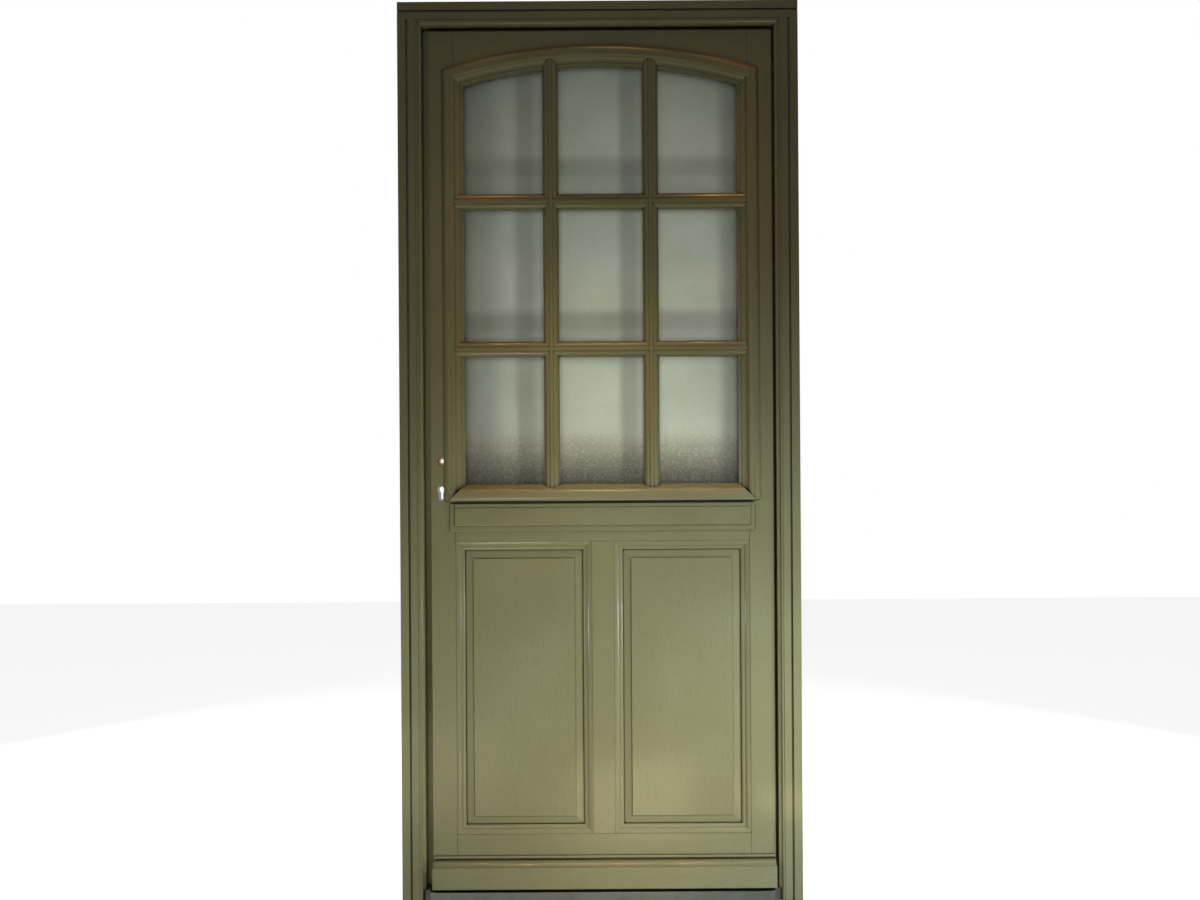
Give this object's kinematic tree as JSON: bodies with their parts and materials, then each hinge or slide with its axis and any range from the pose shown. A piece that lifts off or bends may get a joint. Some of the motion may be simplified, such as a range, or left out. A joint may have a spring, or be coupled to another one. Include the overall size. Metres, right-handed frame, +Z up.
{
  "type": "half-glazed wooden entrance door",
  "caption": "Painted wooden front door in its frame: arched obscure glass with glazing bars above two raised panels, multipoint lock, hinges and threshold.",
  "frame": {"origin": "middle of the frame's width at its front face, on the underside of the threshold", "axes": "+X to the right seen from outside, +Y from the outside face to the inside of the building, +Z up"},
  "size_m": [0.966, 0.113, 2.173],
  "materials": {
    "green_paint": "sage green satin paint on wood",
    "obscure_glass": "granular obscure glass",
    "clear_glass": "clear float glass",
    "spacer_aluminium": "matt",
    "aluminium": "mill finish",
    "dark_plastic": "matt",
    "seal_rubber": "matt",
    "zinc_plate": "zinc plated, satin",
    "lock_steel": "pressed sheet, satin",
    "bolt_steel": "nickel plated",
    "brass": "plain"
  },
  "bodies": {
    "frame": {"frame_jamb_lock_side": "green_paint", "frame_jamb_hinge_side": "green_paint", "frame_head": "green_paint", "threshold": "aluminium", "threshold_end_caps": "dark_plastic", "frame_seal": "seal_rubber", "threshold_seal": "seal_rubber", "strike_plate_main": "zinc_plate", "strike_plate_lower": "zinc_plate", "strike_plate_upper": "zinc_plate", "hinge_frame_lower": "zinc_plate", "hinge_frame_middle": "zinc_plate", "hinge_frame_upper": "zinc_plate", "hinge_pins": "zinc_plate", "hinge_rings": "brass", "frame_screws": "zinc_plate"},
    "leaf": {"bar_inner_left": "green_paint", "bar_inner_right": "green_paint", "bar_outer_left": "green_paint", "bar_outer_right": "green_paint", "bars_inner_lower": "green_paint", "bars_inner_upper": "green_paint", "bars_outer_lower": "green_paint", "bars_outer_upper": "green_paint", "belt_plaque": "green_paint", "glass_inner": "clear_glass", "glass_outer": "obscure_glass", "glass_spacer": "spacer_aluminium", "glazing_bead_arch": "green_paint", "glazing_bead_foot": "green_paint", "glazing_bead_left": "green_paint", "glazing_bead_right": "green_paint", "glazing_moulding_arch": "green_paint", "glazing_moulding_left": "green_paint", "glazing_moulding_right": "green_paint", "glazing_moulding_sill": "green_paint", "hinge_leaf_lower": "zinc_plate", "hinge_leaf_middle": "zinc_plate", "hinge_leaf_upper": "zinc_plate", "hook_case_lower": "lock_steel", "hook_case_upper": "lock_steel", "leaf_screws": "zinc_plate", "lock_case": "lock_steel", "lock_faceplate": "zinc_plate", "muntin": "green_paint", "panel_left": "green_paint", "panel_right": "green_paint", "rail_bottom": "green_paint", "rail_mid": "green_paint", "rail_top": "green_paint", "setting_blocks": "dark_plastic", "stile_hinge_side": "green_paint", "stile_lock_side": "green_paint", "weatherboard": "green_paint"},
    "follower": {"follower": "brass"},
    "latch": {"latch_bolt": "bolt_steel"},
    "deadbolt": {"deadbolt": "bolt_steel"},
    "hook_lower": {"hook_lower": "bolt_steel"},
    "hook_upper": {"hook_upper": "bolt_steel"}
  },
  "joints": [
    {"name": "leaf_swing", "type": "hinge", "parent": "frame", "child": "leaf", "pos_m": [0.4405, 0.082, 0], "axis": [0, 0, -1], "range_deg": [0, 110]},
    {"name": "follower_turn", "type": "hinge", "parent": "leaf", "child": "follower", "pos_m": [-0.386, 0.057, 1.065], "axis": [0, 1, 0], "range_deg": [0, 35]},
    {"name": "latch_slide", "type": "slide", "parent": "leaf", "child": "latch", "axis": [-1, 0, 0], "range_m": [0, 0.017]},
    {"name": "deadbolt_throw", "type": "slide", "parent": "leaf", "child": "deadbolt", "axis": [-1, 0, 0], "range_m": [0, 0.022]},
    {"name": "hook_lower_turn", "type": "hinge", "parent": "leaf", "child": "hook_lower", "pos_m": [-0.419, 0.057, 0.48], "axis": [0, 1, 0], "range_deg": [0, 85]},
    {"name": "hook_upper_turn", "type": "hinge", "parent": "leaf", "child": "hook_upper", "pos_m": [-0.419, 0.057, 1.7], "axis": [0, 1, 0], "range_deg": [0, 85]}
  ],
  "couplings": [
    {"joint": "follower_turn", "follows": "latch_slide", "rad_per_m": 35.93},
    {"joint": "hook_lower_turn", "follows": "deadbolt_throw", "rad_per_m": 67.426},
    {"joint": "hook_upper_turn", "follows": "deadbolt_throw", "rad_per_m": 67.426}
  ]
}
